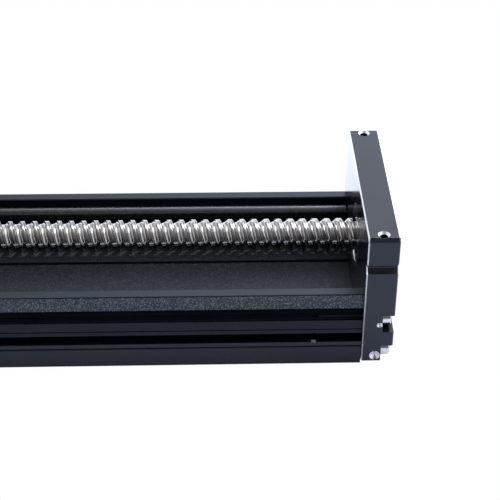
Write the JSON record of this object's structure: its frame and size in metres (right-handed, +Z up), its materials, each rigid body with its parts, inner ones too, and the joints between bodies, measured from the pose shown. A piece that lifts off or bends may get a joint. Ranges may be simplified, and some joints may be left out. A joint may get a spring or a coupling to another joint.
{
  "type": "ball screw assembly",
  "caption": "Ball screw linear axis: black rail with buried guide rods, rolled screw between an end plate and a drive block, and a roller-guided carriage on the ball nut.",
  "frame": {"origin": "middle of the rail's underside, on the plane the axis rests on", "axes": "+X along the rail and screw towards the support end plate, +Y across the rail, +Z up out of the channel"},
  "size_m": [0.373, 0.068, 0.052],
  "materials": {
    "anodised_black": "satin black anodised",
    "rod_steel": "ground and hardened",
    "screw_steel": "rolled, polished flanks",
    "nut_steel": "ground",
    "bearing_steel": "ground bearing steel",
    "fastener_steel": "nickel plated",
    "dark_steel": "black oxide",
    "cage_brass": "machined",
    "rubber_black": "moulded",
    "black_plastic": "moulded",
    "wiper_plastic": "moulded"
  },
  "bodies": {
    "base": {"base_rail": "anodised_black", "guide_rod_front": "rod_steel", "guide_rod_rear": "rod_steel", "end_plate": "anodised_black", "drive_block": "anodised_black", "end_plate_screws": "fastener_steel", "drive_block_screws": "fastener_steel", "drive_side_bumpers": "rubber_black", "bearing_cover": "anodised_black", "bearing_cover_screws": "fastener_steel", "shaft_seal": "rubber_black", "end_plug": "black_plastic", "support_bearing_outer_ring": "bearing_steel", "support_bearing_shields": "bearing_steel", "drive_bearing_outer_rings": "bearing_steel"},
    "screw": {"screw_shaft": "screw_steel", "support_bearing_inner_ring": "bearing_steel", "support_circlip": "dark_steel", "inner_spacer": "bearing_steel", "outer_spacer": "bearing_steel", "drive_bearing_inner_rings": "bearing_steel", "lock_nut": "dark_steel", "lock_nut_set_screw": "fastener_steel"},
    "support_ball_set": {"support_bearing_balls": "bearing_steel", "support_bearing_cage": "cage_brass"},
    "drive_ball_set": {"drive_bearing_balls": "bearing_steel", "drive_bearing_cages": "cage_brass"},
    "carriage": {"carriage_block": "anodised_black", "table_plate": "anodised_black", "table_screws": "fastener_steel", "ball_nut": "nut_steel", "nut_balls": "bearing_steel", "ball_deflectors": "wiper_plastic", "nut_wipers": "wiper_plastic", "grease_nipple": "cage_brass", "nut_flange_screws": "fastener_steel", "roller_inner_rings": "bearing_steel", "roller_balls": "bearing_steel", "roller_studs_fixed": "fastener_steel", "roller_studs_eccentric": "fastener_steel", "rod_wipers": "black_plastic", "wiper_screws": "fastener_steel", "carriage_bumpers": "rubber_black"},
    "roller_rear_left": {"guide_roller_rear_left": "bearing_steel", "roller_shields_rear_left": "bearing_steel"},
    "roller_rear_right": {"guide_roller_rear_right": "bearing_steel", "roller_shields_rear_right": "bearing_steel"},
    "roller_front_left": {"guide_roller_front_left": "bearing_steel", "roller_shields_front_left": "bearing_steel"},
    "roller_front_right": {"guide_roller_front_right": "bearing_steel", "roller_shields_front_right": "bearing_steel"}
  },
  "joints": [
    {"name": "screw_spin", "type": "hinge", "parent": "base", "child": "screw", "pos_m": [0, 0, 0.0285], "axis": [1, 0, 0], "range_deg": [-6076, 2926]},
    {"name": "carriage_slide", "type": "slide", "parent": "base", "child": "carriage", "axis": [1, 0, 0], "range_m": [-0.065, 0.135]},
    {"name": "support_bearing_orbit", "type": "hinge", "parent": "base", "child": "support_ball_set", "pos_m": [0.1536, 0, 0.0285], "axis": [1, 0, 0], "range_deg": [-2237, 1078]},
    {"name": "drive_bearing_orbit", "type": "hinge", "parent": "base", "child": "drive_ball_set", "pos_m": [-0.17, 0, 0.0285], "axis": [1, 0, 0], "range_deg": [-2243, 1081]},
    {"name": "roller_spin_rear_left", "type": "hinge", "parent": "carriage", "child": "roller_rear_left", "pos_m": [-0.056, 0.01897, 0.0211], "axis": [0, 0, 1], "range_deg": [-678, 1407]},
    {"name": "roller_spin_rear_right", "type": "hinge", "parent": "carriage", "child": "roller_rear_right", "pos_m": [-0.004, 0.01897, 0.0211], "axis": [0, 0, 1], "range_deg": [-678, 1407]},
    {"name": "roller_spin_front_left", "type": "hinge", "parent": "carriage", "child": "roller_front_left", "pos_m": [-0.056, -0.01897, 0.0211], "axis": [0, 0, 1], "range_deg": [-1407, 678]},
    {"name": "roller_spin_front_right", "type": "hinge", "parent": "carriage", "child": "roller_front_right", "pos_m": [-0.004, -0.01897, 0.0211], "axis": [0, 0, 1], "range_deg": [-1407, 678]}
  ],
  "couplings": [
    {"joint": "screw_spin", "follows": "carriage_slide", "rad_per_m": -785.4},
    {"joint": "support_bearing_orbit", "follows": "carriage_slide", "rad_per_m": -289.03},
    {"joint": "drive_bearing_orbit", "follows": "carriage_slide", "rad_per_m": -289.73},
    {"joint": "roller_spin_rear_left", "follows": "carriage_slide", "rad_per_m": 181.82},
    {"joint": "roller_spin_rear_right", "follows": "carriage_slide", "rad_per_m": 181.82},
    {"joint": "roller_spin_front_left", "follows": "carriage_slide", "rad_per_m": -181.82},
    {"joint": "roller_spin_front_right", "follows": "carriage_slide", "rad_per_m": -181.82}
  ]
}
